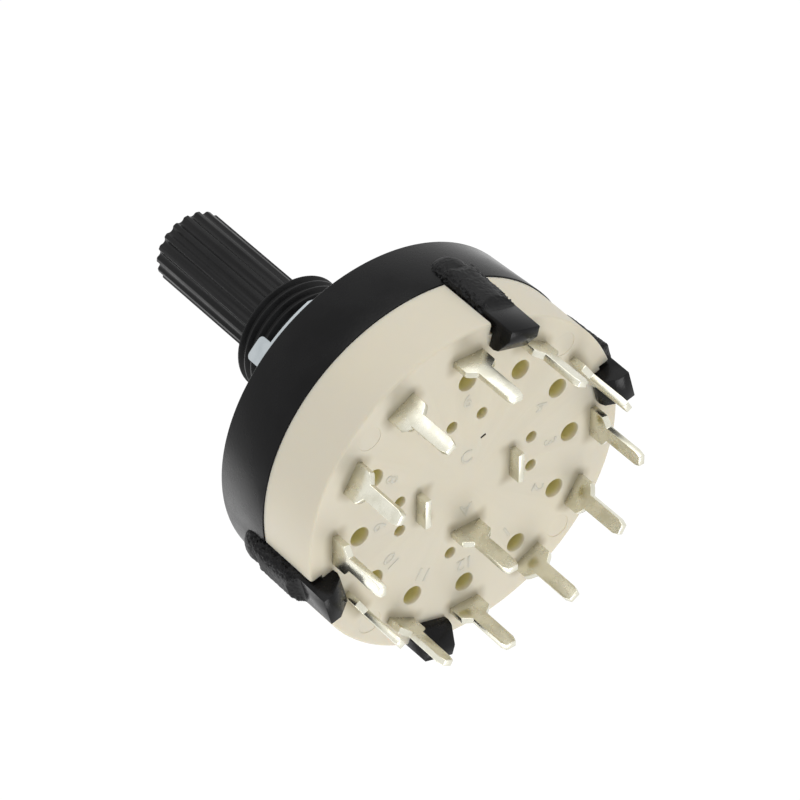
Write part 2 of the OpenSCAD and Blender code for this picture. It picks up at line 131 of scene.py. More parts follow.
def closeUp():  # merges seams and turns every face outwards
    bpy.ops.mesh.select_all(action="SELECT")
    bpy.ops.mesh.remove_doubles(threshold=weld)
    bpy.ops.mesh.normals_make_consistent(inside=False)
    bpy.ops.object.mode_set(mode="OBJECT")


def spinOutline(name, points, steps, closed=True):
    piece = traceOutline(name, points, closed=closed)
    bpy.ops.mesh.spin(steps=steps, angle=math.tau, center=(0, 0, 0), axis=(0, 0, 1))
    closeUp()
    return piece


def roundBand(name, inner, outer, low, high, steps):
    band = [(inner, low), (outer, low), (outer, high), (inner, high)]
    return spinOutline(name, band, steps, closed=inner > 0)


def raiseOutline(name, points, step, flat=False):
    piece = traceOutline(name, points, flat)
    bpy.ops.mesh.edge_face_add()
    bpy.ops.mesh.extrude_region_move(TRANSFORM_OT_translate={"value": step})
    closeUp()
    return piece


def finishWith(piece, kind, **settings):
    takeUp(piece)
    change = piece.modifiers.new(kind.title(), kind)
    for key, value in settings.items():
        setattr(change, key, value)
    bpy.ops.object.modifier_apply(modifier=change.name)


def softenEdges(piece, width, segments=3, angle=30):
    finishWith(piece, "BEVEL", width=width, segments=segments, limit_method="ANGLE",
               angle_limit=math.radians(angle), harden_normals=False)


def combine(piece, other, operation):
    finishWith(piece, "BOOLEAN", object=other, operation=operation, solver="EXACT")
    bpy.data.objects.remove(other)


def joinAll(pieces):
    takeUp(pieces[0])
    for piece in pieces:
        piece.select_set(True)
    bpy.ops.object.join()
    return pieces[0]


def placeRound(piece, radius, angle):  # moves a piece out along +X and turns it about the axis
    turn = math.radians(angle)
    piece.location = (radius * math.cos(turn), radius * math.sin(turn), 0)
    piece.rotation_euler = (0, 0, turn)
    return settle(piece)


def copyOf(piece, name):
    takeUp(piece)
    bpy.ops.object.duplicate()
    twin = bpy.context.object
    twin.name = twin.data.name = name
    return twin


def copiesRound(piece, name, radius, angles):
    twins = [placeRound(copyOf(piece, f"{name}{k + 1}"), radius, a) for k, a in enumerate(angles)]
    bpy.data.objects.remove(piece)
    return twins


def layDown(piece, smoothAngle=35):  # from the drawing's millimetres along Z to metres along Y
    piece.scale = (mm, mm, mm)
    piece.rotation_euler = (-math.pi / 2, 0, 0)
    settle(piece)
    bpy.ops.object.shade_smooth_by_angle(angle=math.radians(smoothAngle))


def dress(piece, material, slot, *nodes, body="housing", smoothAngle=35):
    layDown(piece, smoothAngle)
    piece.data.materials.clear()
    piece.data.materials.append(material)
    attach(piece, body)
    if nodes:
        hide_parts(*nodes)


# shader helpers

class Wire:  # a socket that can be used in Python expressions
    def __init__(self, nodes, socket):
        self.nodes = nodes
        self.socket = socket

    def __add__(self, other):
        return self.nodes.reckon("ADD", self, other)

    def __radd__(self, other):
        return self.nodes.reckon("ADD", other, self)

    def __sub__(self, other):
        return self.nodes.reckon("SUBTRACT", self, other)

    def __rsub__(self, other):
        return self.nodes.reckon("SUBTRACT", other, self)

    def __mul__(self, other):
        return self.nodes.reckon("MULTIPLY", self, other)

    def __rmul__(self, other):
        return self.nodes.reckon("MULTIPLY", other, self)

    def __pow__(self, other):
        return self.nodes.reckon("POWER", self, other)

    def __rpow__(self, other):
        return self.nodes.reckon("POWER", other, self)

    def __abs__(self):
        return self.nodes.reckon("ABSOLUTE", self, 0)

    def __lt__(self, other):
        return self.nodes.reckon("LESS_THAN", self, other)

    def __gt__(self, other):
        return self.nodes.reckon("GREATER_THAN", self, other)


class Nodes:  # a node tree and the one way to add to it
    def __init__(self, tree):
        self.tree = tree

    def add(self, kind, settings, output=0, **sockets):
        made = self.tree.nodes.new(kind)
        for key, value in settings.items():
            setattr(made, key, value)
        for key, value in sockets.items():
            self.plug(made.inputs[int(key[1:]) if key[0] == "_" else key.replace("_", " ")], value)
        return Wire(self, made.outputs[output])

    def plug(self, socket, value):
        if isinstance(value, Wire):
            self.tree.links.new(value.socket, socket)
        else:
            socket.default_value = value

    def reckon(self, operation, first, second):
        return self.add("ShaderNodeMath", {"operation": operation}, _0=first, _1=second)

    def blend(self, amount, first, second):  # two shaders
        return self.add("ShaderNodeMixShader", {}, _0=amount, _1=first, _2=second)

    def seenDirectly(self):  # 1 for rays from the camera, a mirror or glass
        kinds = ("Is Camera Ray", "Is Glossy Ray", "Is Transmission Ray")
        camera, glossy, through = [self.add("ShaderNodeLightPath", {}, kind) for kind in kinds]
        return self.reckon("MAXIMUM", self.reckon("MAXIMUM", camera, glossy), through)


class Finish(Nodes):  # one material
    def __init__(self, name, **constants):
        self.material = bpy.data.materials.new(name)
        self.material.use_nodes = True
        super().__init__(self.material.node_tree)
        self.shader = self.tree.nodes["Principled BSDF"]
        self.wear(**constants)
        self.place = self.add("ShaderNodeTexCoord", {}, "Object")

    def noise(self, scale, detail=3, roughness=0.55):
        return self.add("ShaderNodeTexNoise", {}, "Fac", Vector=self.place, Scale=scale,
                        Detail=detail, Roughness=roughness)

    def part(self, axis):  # a point's place along one axis, in millimetres
        return self.add("ShaderNodeSeparateXYZ", {}, axis, Vector=self.place) * (1 / mm)

    def mix(self, amount, first, second):  # two colours
        return self.add("ShaderNodeMix", {"data_type": "RGBA"}, 2, _0=amount, _6=first, _7=second)

    def ease(self, value, low, high):  # 0 below low, 1 above high
        return self.add("ShaderNodeMapRange", {"interpolation_type": "SMOOTHSTEP"}, Value=value,
                        From_Min=low, From_Max=high)

    def bump(self, height, distance):
        return self.add("ShaderNodeBump", {}, Height=height, Distance=distance)

    def wear(self, **sockets):
        for key, value in sockets.items():
            self.plug(self.shader.inputs[key.replace("_", " ")], value)
        return self.material


def paint(colour):  # three numbers as a colour with full alpha
    return (*colour, 1)


# finishes, with bump depths and the scatter scale in metres

blackSettings = {
    "dark": (0.0034, 0.0034, 0.0037), "pale": (0.006, 0.006, 0.0064), "specular": 0.14,
    "roughLow": 0.2, "roughHigh": 0.3, "roughGrain": 0.05, "cloud": 260, "paleFrom": 0.35, "paleTo": 0.7,
    "grain": 5200, "grainDepth": 0.000008, "cloudShare": 0.6,
}


def blackPlastic(name, s):
    f = Finish(name, Specular_IOR_Level=s["specular"])
    cloud = f.noise(s["cloud"], 4)
    grain = f.noise(s["grain"], 3)
    shade = f.ease(cloud, s["paleFrom"], s["paleTo"])
    rough = s["roughLow"] + (s["roughHigh"] - s["roughLow"]) * shade + s["roughGrain"] * (grain - 0.5)
    return f.wear(Base_Color=f.mix(shade, paint(s["dark"]), paint(s["pale"])), Roughness=rough,
                  Normal=f.bump(grain + s["cloudShare"] * cloud, s["grainDepth"]))


creamSettings = {
    "body": (0.695, 0.645, 0.525), "warm": (0.72, 0.66, 0.52), "cloud": 150, "warmFrom": 0.3, "warmTo": 0.75,
    # holeShade is a painted warm shade for the walls down the moulding holes
    "holeShade": (0.74, 0.68, 0.33), "shallow": 0.05, "deepAt": 0.6, "holesWithin": 12.2,
    # bladeShade is a painted brown contact shade beside the blades' bases
    "bladeShade": (0.34, 0.28, 0.17), "bladeShadeReach": 0.9, "bladeShadeWeight": 0.39, "bladeShadeCloud": 0.52, "legsBelow": 2.5,
    # slit is a painted near-black shade for the walls of the slit
    "slit": (0.03, 0.025, 0.018), "slitReach": 0.35, "specular": 0.4, "rough": 0.42, "roughCloud": 0.12,
    "grain": 3800, "grainDepth": 0.000004, "cloudShare": 0.5, "scatter": 0.3, "scatterScale": 0.001,
    "scatterRadius": (1.0, 0.75, 0.45),
}


def creamPlastic(name, s):  # painted warm shade makes it yellower down its holes, painted contact shade darkens it beside the blades, and the slit's walls are painted near black as shade
    f = Finish(name, Specular_IOR_Level=s["specular"], Subsurface_Weight=s["scatter"],
               Subsurface_Scale=s["scatterScale"], Subsurface_Radius=s["scatterRadius"])
    cloud = f.noise(s["cloud"], 4)
    grain = f.noise(s["grain"], 3)
    tint = f.mix(f.ease(cloud, s["warmFrom"], s["warmTo"]), paint(s["body"]), paint(s["warm"]))
    x, y, z = [f.part(axis) for axis in "XYZ"]
    depth = backFace - y
    across = (x ** 2 + z ** 2) ** 0.5
    # painted warm shade down the holes, growing from shallow to deepAt below the back face
    inside = f.ease(depth, s["shallow"], s["deepAt"]) * (across < s["holesWithin"])
    turn = f.reckon("ARCTAN2", z, x)

    def nearBlades(circle, step):  # 1 beside the blades on a circle, one at each step, falling to 0
        along = across * f.reckon("PINGPONG", turn, math.radians(step / 2))
        beside = f.reckon("MAXIMUM", along - terminalSettings["shoulder"] / 2, 0)
        before = f.reckon("MAXIMUM", abs(across - circle) - terminalSettings["thickness"] / 2, 0)
        return 1 - f.ease((beside ** 2 + before ** 2) ** 0.5, 0, s["bladeShadeReach"])

    # painted contact shade on the cream beside the blades and the legs, varied by the cloud
    legs = nearBlades(terminalSettings["legCircle"], 90) * (z < s["legsBelow"])
    bladeShade = f.reckon("MAXIMUM", nearBlades(terminalSettings["circle"], stepAngle), legs)
    face = f.mix(bladeShade * (s["bladeShadeWeight"] + s["bladeShadeCloud"] * cloud), tint, paint(s["bladeShade"]))
    # painted shade: the slit's walls below the face are coloured near black
    fromSlit = (x - waferSettings["slitAt"][0]) ** 2 + (z + waferSettings["slitAt"][1]) ** 2
    slit = (depth > s["shallow"] / 2) * (fromSlit < s["slitReach"] ** 2)
    colour = f.mix(slit, f.mix(inside, face, paint(s["holeShade"])), paint(s["slit"]))
    return f.wear(Base_Color=colour, Roughness=s["rough"] + s["roughCloud"] * cloud,
                  Normal=f.bump(grain + s["cloudShare"] * cloud, s["grainDepth"]))


tinSettings = {
    "bright": (0.78, 0.765, 0.655), "dull": (0.64, 0.62, 0.51),
    "roughLow": 0.23, "roughHigh": 0.34, "streak": 900, "dullFrom": 0.35, "dullTo": 0.75,
    "grain": 4200, "grainDepth": 0.0000015,
}


def platedMetal(name, s):
    f = Finish(name, Metallic=1.0)
    grain = f.noise(s["grain"], 2)
    tarnish = f.ease(f.noise(s["streak"], 4), s["dullFrom"], s["dullTo"])
    return f.wear(Base_Color=f.mix(tarnish, paint(s["bright"]), paint(s["dull"])),
                  Roughness=s["roughLow"] + (s["roughHigh"] - s["roughLow"]) * tarnish,
                  Normal=f.bump(grain, s["grainDepth"]))


# wafer with its moulding holes, terminal slots and hook grooves

waferSettings = {
    "rimRadius": 13.4, "backRadius": 13.375, "edgeRound": 0.2, "rim": 6.25, "floor": 9.0,
    "spigotIn": 11.25, "spigotOut": 11.9, "spigotLength": 1.5, "pivotRadius": 1.55, "pivotDepth": 1.4,
    "coreRadius": 0.76, "coreCircle": 9.14, "ringRadius": 0.46, "ringCircle": 5.85, "ringSpread": 12.75,
    "holeFloor": 9.42, "holeLip": 0.07, "slotWidth": 2.51, "slotDepth": 0.51,
    "grooveIn": 12.375, "grooveWidth": 3.1, "hookAngles": (15, 75, 195, 255),
    "markCircle": 11.75, "markRadius": 0.94, "markDepth": 0.05, "markLip": 0.04,
    "markAngles": (45, 135, 225, 315), "cutPast": 0.4,
    "slitAt": (-1.42, -3.6), "slitTurn": 18.5, "slitSize": (0.46, 0.19), "slitDepth": 1.0, "steps": 160,
}
terminalAngles = [90 + stepAngle * (k + 1) for k in range(positions)]
backFace = levelOf("wafer", 1)


def holeCutter(name, radius, lip, low, high, steps=28):
    flare = arc((radius + lip, backFace - lip), lip, 180, 90, 4)
    profile = [(0, low), (radius, low), *flare, (radius + lip, high), (0, high)]
    return spinOutline(name, profile, steps, closed=False)


def blockCutter(name, size, low, high):  # a box on the axis, wide along X and deep along Y
    x, y = size[0] / 2, size[1] / 2
    piece = raiseOutline(name, [(-x, -y), (x, -y), (x, y), (-x, y)], Vector((0, 0, high - low)), flat=True)
    piece.location.z = low
    return settle(piece)


def makeWafer(s):
    rise = s["cutPast"]
    high = backFace + rise
    rounded = arc((s["backRadius"] - s["edgeRound"], backFace - s["edgeRound"]), s["edgeRound"], 90, 0, 6)
    profile = [(0, backFace), *rounded, (s["rimRadius"], s["rim"]), (s["spigotOut"], s["rim"]),
               (s["spigotOut"], s["rim"] - s["spigotLength"]), (s["spigotIn"], s["rim"] - s["spigotLength"]),
               (s["spigotIn"], s["floor"]), (s["pivotRadius"], s["floor"]),
               (s["pivotRadius"], s["floor"] + s["pivotDepth"]), (0, s["floor"] + s["pivotDepth"])]
    wafer = spinOutline("waferDisc", profile, s["steps"], closed=False)
    cutters = copiesRound(holeCutter("coreCutter", s["coreRadius"], s["holeLip"], s["holeFloor"], high),
                          "coreCutter", s["coreCircle"], terminalAngles)
    pairs = [quarter + side * s["ringSpread"] for quarter in (0, 90, 180, 270) for side in (-1, 1)]
    cutters += copiesRound(holeCutter("ringCutter", s["ringRadius"], s["holeLip"], s["holeFloor"], high),
                           "ringCutter", s["ringCircle"], pairs)
    slot = blockCutter("slotCutter", (s["slotDepth"], s["slotWidth"]), s["floor"] - rise, high)
    legs = copyOf(slot, "legCutter")
    cutters += copiesRound(slot, "slotCutter", terminalSettings["circle"], terminalAngles)
    cutters += copiesRound(legs, "legCutter", terminalSettings["legCircle"], terminalSettings["legAngles"])
    outer = s["rimRadius"] + rise
    groove = blockCutter("grooveCutter", (outer - s["grooveIn"], s["grooveWidth"]), s["rim"] - rise, high)
    cutters += copiesRound(groove, "grooveCutter", (outer + s["grooveIn"]) / 2, s["hookAngles"])
    mark = holeCutter("markCutter", s["markRadius"], s["markLip"], backFace - s["markDepth"], high, steps=40)
    cutters += copiesRound(mark, "markCutter", s["markCircle"], s["markAngles"])
    slit = blockCutter("slitCutter", s["slitSize"], backFace - s["slitDepth"], high)
    slit.rotation_euler.z = math.radians(s["slitTurn"])
    slit.location = (*s["slitAt"], 0)
    combine(wafer, joinAll(cutters + [settle(slit)]), "DIFFERENCE")
    dress(wafer, waferCream, "cream_wafer", "wafer", smoothAngle=32)
    print("wafer:", len(wafer.data.polygons), "faces")


# raised figures beside the terminals, and two letters nearer the middle

figureSettings = {
    "circle": 7.35, "height": 1.5, "letterCircle": 2.35, "letterHeight": 1.5,
    "rise": 0.005, "round": 0.065, "thin": -0.04, "sunk": 0.03, "letters": {"A": 90, "C": 270},
}


def raisedText(word, size, s):
    clearSelection()
    bpy.ops.object.text_add()
    text = bpy.context.object
    text.data.body = word
    text.data.size = size
    text.data.align_x = "CENTER"
    text.data.align_y = "CENTER"
    text.data.extrude = s["rise"]
    text.data.bevel_depth = s["round"]
    text.data.bevel_resolution = 2
    text.data.offset = s["thin"]
    text.data.resolution_u = 4
    bpy.ops.object.convert(target="MESH")
    return bpy.context.object


def standAt(figure, circle, angle, sunk):  # in the back face, with its top pointing outwards
    turn = math.radians(angle)
    figure.location = (circle * math.cos(turn), circle * math.sin(turn), backFace - sunk)
    figure.rotation_euler = (0, 0, turn - math.pi / 2)
    return settle(figure)


def makeFigures(s):
    numbers = [standAt(raisedText(str(k + 1), s["height"], s), s["circle"], a, s["sunk"])
               for k, a in enumerate(terminalAngles)]
    letters = [standAt(raisedText(word, s["letterHeight"], s), s["letterCircle"], a, s["sunk"])
               for word, a in s["letters"].items()]
    for name, group in (("waferNumbers", numbers), ("waferLetters", letters)):
        piece = joinAll(group)
        piece.name = piece.data.name = name
        openPiece(piece)
        closeUp()
        dress(piece, waferCream, "cream_wafer")
    print("figures raised")


# stamped terminals and the common ring

terminalSettings = {
    "circle": 11.2, "legCircle": 4.05, "thickness": 0.5, "shoulder": 2.5, "shoulderRise": 1.3,
    "slope": 0.5, "ease": 0.2, "pin": 1.14, "tip": 0.8, "tipRise": 0.5, "footIn": 8.0, "footWidth": 2.4,
    "footThickness": 0.4, "ringIn": 4.85, "ringOut": 6.85, "stubRise": 1.05, "edge": 0.055, "footEdge": 0.04,
    "legAngles": (0, 90, 180), "pinLegAngle": 90,
}


def makeBlade(name, s):
    base = waferSettings["floor"]
    top = levelOf("terminal_01", 1)
    shoulder = backFace + s["shoulderRise"]
    half, pin, tip = s["shoulder"] / 2, s["pin"] / 2, s["tip"] / 2
    right = [(half, base), (half, shoulder), (half - s["ease"], shoulder + s["ease"]),
             (pin, shoulder + s["slope"]), (pin, top - s["tipRise"]), (tip, top)]
    return finishBlade(name, right, s)


def makeStub(name, s):
    half = s["shoulder"] / 2
    right = [(half, waferSettings["floor"]), (half, backFace + s["stubRise"])]
    return finishBlade(name, right, s)


def finishBlade(name, right, s):  # mirrors half an outline, gives it its thickness and turns it to face out
    outline = right + [(-x, y) for x, y in reversed(right)]
    blade = raiseOutline(name, outline, Vector((0, s["thickness"], 0)))
    blade.location.y = -s["thickness"] / 2
    softenEdges(settle(blade), s["edge"])
    blade.rotation_euler.z = math.pi / 2
    return settle(blade)


def makeFoot(name, inner, outer, s):
    base = waferSettings["floor"]
    foot = blockCutter(name, (outer - inner, s["footWidth"]), base, base + s["footThickness"])
    softenEdges(foot, s["footEdge"], segments=2)
    return foot


def makeTerminals(s):
    foot = placeRound(makeFoot("foot", s["footIn"], s["circle"], s), (s["footIn"] - s["circle"]) / 2, 0)
    blade = joinAll([makeBlade("terminal", s), foot])
    for k, twin in enumerate(copiesRound(blade, "terminalBlade", s["circle"], terminalAngles)):
        dress(twin, brightTin, "tinned_brass", f"terminal_{k + 1:02d}")
    print("terminals placed:", positions)


def makeCommonRing(s):
    base = waferSettings["floor"]
    reach = waferSettings["ringCircle"] - s["legCircle"]
    parts = [roundBand("commonRing", s["ringIn"], s["ringOut"], base, base + s["footThickness"], steps=96)]
    for angle in s["legAngles"]:
        leg = makeBlade("pinLeg", s) if angle == s["pinLegAngle"] else makeStub("stubLeg", s)
        foot = placeRound(makeFoot("legFoot", 0, reach, s), reach / 2, 0)
        parts.append(placeRound(joinAll([leg, foot]), s["legCircle"], angle))
    ring = joinAll(parts)
    ring.name = ring.data.name = "commonRing"
    dress(ring, brightTin, "tinned_brass", "common_ring")
    print("common ring placed")


# cap and bushing, turned from one profile, with a screw thread

capSettings = {
    "frontRadius": 13.25, "rimRadius": 13.5, "front": 1.0, "rim": 6.25, "wall": 3.0, "frontRound": 0.12,
    "rimRound": 0.08, "spigotRoom": 12.0, "spigotFloor": 4.65, "rotorRoom": 10.65, "bore": 3.15,
    "boreFlare": 0.4, "mouthChamfer": 0.15, "thread": 4.65, "pitch": 0.75, "threadDepth": 0.28, "crest": 0.26,
    "threadSunk": 0.06, "flank": 30, "crestRound": 0.08, "collar": 0.35, "neck": 4.45, "stopCircle": 8.4,
    "stopRadius": 0.95, "steps": 192,
}


def makeCap(s):
    mouth = levelOf("front_housing", 0)
    frontAt, rimAt = s["frontRadius"] - s["frontRound"], s["rimRadius"] - s["rimRound"]
    frontEdge = arc((frontAt, s["front"] + s["frontRound"]), s["frontRound"], -90, 0, 4)
    rimEdge = arc((rimAt, s["rim"] - s["rimRound"]), s["rimRound"], 0, 90, 3)
    root = s["thread"] - s["threadDepth"]
    profile = [(s["bore"], s["wall"]), (s["bore"], mouth + s["boreFlare"]),
               (s["bore"] + s["boreFlare"], mouth), (root, mouth),
               (root, -s["collar"] - s["threadDepth"]), (s["thread"], -s["collar"]),
               (s["thread"], 0), (s["neck"], 0), (s["neck"], s["front"]), *frontEdge, *rimEdge,
               (s["spigotRoom"], s["rim"]), (s["spigotRoom"], s["spigotFloor"]),
               (s["rotorRoom"], s["spigotFloor"]), (s["rotorRoom"], s["wall"])]
    cap = spinOutline("capAndBushing", profile, s["steps"])
    hole = roundBand("stopCutter", 0, s["stopRadius"], 0, s["wall"] + past, steps=32)
    stopAngles = [stepAngle * (k + 0.5) for k in range(positions)]
    combine(cap, joinAll(copiesRound(hole, "stopCutter", s["stopCircle"], stopAngles)), "DIFFERENCE")
    dress(cap, housingBlack, "black_housing", "front_housing")
    print("cap turned")


def makeThread(s):  # one ridge wound into a helix, trimmed to the bushing's outline
    mouth = levelOf("front_housing", 0)
    top, pitch, crest, ease = s["thread"], s["pitch"], s["crest"] / 2, s["crestRound"]
    root = top - s["threadDepth"] - s["threadSunk"]
    foot = crest + (top - root) * math.tan(math.radians(s["flank"]))
    ridge = traceOutline("bushingThread", [(root, -foot), (top - ease, -crest), (top, ease - crest),
                                           (top, crest - ease), (top - ease, crest), (root, foot)])
    bpy.ops.object.mode_set(mode="OBJECT")
    turns = int((past - mouth) / pitch)
    finishWith(ridge, "SCREW", axis="Z", screw_offset=pitch, iterations=turns, steps=72, render_steps=72,
               use_merge_vertices=False, use_normal_calculate=True)
    ridge.location.z = mouth - pitch / 2
    openPiece(settle(ridge))
    bpy.ops.mesh.select_all(action="SELECT")
    bpy.ops.mesh.fill_holes(sides=0)
    closeUp()
    room = [(0, mouth), (top - s["mouthChamfer"], mouth), (top, mouth + s["mouthChamfer"]),
            (top, -s["collar"]), (root, -s["collar"] / 2), (0, -s["collar"] / 2)]
    combine(ridge, spinOutline("threadRoom", room, s["steps"], closed=False), "INTERSECT")
    dress(ridge, shaftBlack, "black_housing", smoothAngle=25)
    print("thread cut:", len(ridge.data.polygons), "faces")


# snap hooks, each shaped as what its side, back and section views share

hookSettings = {
    "width": 2.9, "tipWidth": 2.5, "root": 3.2, "inRadius": 12.475, "outRadius": 14.35, "headRadius": 13.625,
    "beakRadius": 11.425, "bulgeFrom": 6.6, "bulgeTo": 9.3, "waist": 10.35, "nose": 0.9,
    "leadIn": 1.35, "seat": 0.02, "ease": 0.15, "corner": 1.1, "edge": 0.05, "seam": 5.75, "seamWidth": 0.25,
    "seamDepth": 0.25, "domeAt": (12.8, 5.2), "domeSize": (1.5, 1.45, 1.8), "split": 10.45,
    "voxel": 0.06, "soften": 3, "roughScale": 0.35, "roughDepth": -0.36, "roughLevel": 0.35, "fade": 0.3,
    "calm": 0.2, "edgeFrom": 0.7, "edgeTo": 1.3, "spare": 0.1, "slimMiddle": 0.5,
    "slim": (0, 0, -0.3, 0.7), "late": (0, 0, 0.4, 0),  # how each arm falls away or reaches on at its waist
}


def hookViews(s):  # side, back and section of a hook as solids that reach past each other
    top, spare = levelOf("front_housing", 1), s["spare"]
    seat = backFace + s["seat"]
    half, tip, corner = (s["width"] + spare) / 2, s["tipWidth"] / 2, s["corner"]
    beak, out, root = s["beakRadius"], s["outRadius"], s["root"]
    head, drop, steps = s["headRadius"], out + spare - s["headRadius"], 8
    fall = [(head + drop * (1 + math.cos(math.pi * k / steps)) / 2,
             s["bulgeTo"] + (s["waist"] - s["bulgeTo"]) * k / steps) for k in range(steps + 1)]
    side = [(s["inRadius"], s["seam"] - spare), (out - s["seamDepth"], s["seam"] - spare),
            (out - spare, s["seam"] + s["seamWidth"]), (out + spare, s["bulgeFrom"]), *fall,
            (head, top), (beak + s["leadIn"], top),
            (beak + s["ease"], seat + s["nose"]), (beak, seat + s["nose"] / 2), (beak + s["ease"] / 3, seat),
            (s["inRadius"], seat)]
    sideView = raiseOutline("hookSide", side, Vector((0, 2 * s["width"], 0)))
    sideView.location.y = -s["width"]
    back = [(-half, root), (half, root), (tip, top + spare), (-tip, top + spare)]
    backView = raiseOutline("hookBack", back, Vector((0, 2 * beak, 0)))
    backView.rotation_euler.z = -math.pi / 2
    inner = beak - past
    section = [(inner, -half), *arc((out - corner, corner - half), corner, -90, 0, 8),
               *arc((out - corner, half - corner), corner, 0, 90, 8), (inner, half)]
    sectionView = raiseOutline("hookSection", section, Vector((0, 0, top + spare)), flat=True)
    return [settle(view) for view in (sideView, backView, sectionView)]


def splitHook(hook, level, keepLow):
    openPiece(hook)
    bpy.ops.mesh.select_all(action="SELECT")
    bpy.ops.mesh.bisect(plane_co=(0, 0, level), plane_no=(0, 0, 1), use_fill=True,
                        clear_outer=keepLow, clear_inner=not keepLow)
    closeUp()


def makeDome(s):  # round root of a hook, up to its moulding seam
    clearSelection()
    bpy.ops.mesh.primitive_uv_sphere_add(segments=48, ring_count=32, radius=1, scale=s["domeSize"])
    dome = bpy.context.object
    dome.location = (s["domeAt"][0], 0, s["domeAt"][1])
    splitHook(settle(dome), s["seam"], True)
    return dome


def weighArm(arm, s):  # how ragged an arm is at each point, and how far it can slim there
    def within(value, low, high):
        return min(1, max(0, (value - low) / (high - low)))

    roughPart, slimPart = [arm.vertex_groups.new(name=name) for name in ("roughPart", "slimPart")]
    for vertex in arm.data.vertices:
        out, aside, along = vertex.co.x, abs(vertex.co.y), vertex.co.z
        ragged = s["calm"] + (1 - s["calm"]) * within(aside, s["edgeFrom"], s["edgeTo"])
        fade = 1 - within(along, s["waist"] - s["fade"], s["waist"])
        slim = s["slimMiddle"] + (1 - s["slimMiddle"]) * within(aside, 0, s["width"] / 2) ** 2
        slim *= within(along, s["seam"], s["waist"]) * within(out, s["headRadius"], s["outRadius"])
        roughPart.add([vertex.index], ragged * fade, "REPLACE")
        slimPart.add([vertex.index], slim, "REPLACE")


def makeHooks(s):
    arm, backView, sectionView = hookViews(s)
    combine(arm, backView, "INTERSECT")
    combine(arm, sectionView, "INTERSECT")
    head = copyOf(arm, "hookHead")
    splitHook(head, s["split"], False)
    softenEdges(head, s["edge"], segments=2, angle=40)
    splitHook(arm, s["split"] + s["voxel"], True)
    arm = joinAll([arm, makeDome(s)])
    finishWith(arm, "REMESH", mode="VOXEL", voxel_size=s["voxel"])
    finishWith(arm, "SMOOTH", iterations=s["soften"])
    weighArm(arm, s)
    rough = bpy.data.textures.new("mouldFlash", "CLOUDS")
    rough.noise_scale = s["roughScale"]
    rough.noise_depth = 3
    rough.noise_type = "HARD_NOISE"
    angles = waferSettings["hookAngles"]
    heads = copiesRound(head, "hookHead", 0, angles)
    for k, angle in enumerate(angles):
        twin = copyOf(arm, f"snapHook{k + 1}")
        for direction, amount in (("X", -s["slim"][k]), ("Z", s["late"][k])):
            if amount:
                finishWith(twin, "DISPLACE", direction=direction, strength=amount, mid_level=0,
                           vertex_group="slimPart")
        placeRound(twin, 0, angle)
        finishWith(twin, "DISPLACE", texture=rough, strength=s["roughDepth"], mid_level=s["roughLevel"],
                   vertex_group="roughPart")
        dress(twin, hookBlack, "black_housing", smoothAngle=40)
        dress(heads[k], housingBlack, "black_housing", smoothAngle=40)
    bpy.data.objects.remove(arm)
    print("hooks placed:", len(heads))


# knurled shaft with its hub

shaftSettings = {
    "radius": 3.0, "teeth": 18, "grooveDepth": 0.24, "grooveCut": 0.36, "phase": 15.5, "steps": 14,
    "knurlEnd": -8.8, "knurlEdge": 0.03, "tipChamfer": 0.1, "journal": 3.1, "hubRadius": 9.6, "hubFrom": 3.1,
    "hubTo": 6.6, "drive": 5.0, "driveTo": 8.5, "pivot": 1.5, "boreRadius": 1.3, "boreFrom": 3.6,
    "ballLevel": 4.85,
}


def knurlRadius(turn, s):  # radius of the knurl at an angle from the middle of a groove
    middle = s["radius"] - s["grooveDepth"] + s["grooveCut"]
    across = middle * math.sin(turn)
    if abs(across) >= s["grooveCut"]:
        return s["radius"]
    floor = middle * math.cos(turn) - math.sqrt(s["grooveCut"] ** 2 - across ** 2)
    return min(s["radius"], floor)


def makeShaft(s):
    tipLevel = levelOf("shaft", 0)
    count = s["teeth"] * s["steps"]
    pitch = math.tau / s["teeth"]
    outline = []
    for k in range(count):
        turn = math.tau * k / count
        fromGroove = (turn + pitch / 2) % pitch - pitch / 2
        radius = knurlRadius(fromGroove, s)
        angle = turn + math.radians(s["phase"]) + pitch / 2
        outline.append((radius * math.cos(angle), radius * math.sin(angle)))
    length = s["knurlEnd"] - tipLevel - s["tipChamfer"]
    knurl = raiseOutline("knurledShaft", outline, Vector((0, 0, -length)), flat=True)
    openPiece(knurl)
    pickFaces(knurl, lambda middle, normal: normal.z < -0.9)
    bpy.ops.mesh.extrude_region_move(TRANSFORM_OT_translate={"value": (0, 0, -s["tipChamfer"])})
    shrink = 1 - s["tipChamfer"] / s["radius"]
    bpy.ops.transform.resize(value=(shrink, shrink, 1), center_override=(0, 0, 0))
    closeUp()
    knurl.location.z = s["knurlEnd"]
    softenEdges(settle(knurl), s["knurlEdge"], segments=2, angle=24)
    overlap = 0.05
    start, end = s["knurlEnd"] - overlap, levelOf("shaft", 1)
    body = spinOutline("hub", [(0, start), (s["journal"], start), (s["journal"], s["hubFrom"]),
                               (s["hubRadius"], s["hubFrom"]), (s["hubRadius"], s["hubTo"]),
                               (s["pivot"], s["hubTo"]), (s["pivot"], end), (0, end)], 96, closed=False)
    bore = roundBand("boreCutter", 0, s["boreRadius"], s["boreFrom"], s["hubRadius"] + past, steps=32)
    bores = [bore, copyOf(bore, "boreCutter2")]
    for cutter, side in zip(bores, (1, -1)):
        cutter.rotation_euler.x = side * math.pi / 2
        cutter.location.z = s["ballLevel"]
        settle(cutter)
    combine(body, joinAll(bores), "DIFFERENCE")
    drive = blockCutter("drive", (s["drive"], s["drive"]), s["hubTo"] - overlap, s["driveTo"])
    shaft = joinAll([knurl, body, drive])
    dress(shaft, shaftBlack, "black_shaft", "shaft", body="rotor", smoothAngle=28)
    print("shaft placed")


# zinc plated stop ring with its panel lug

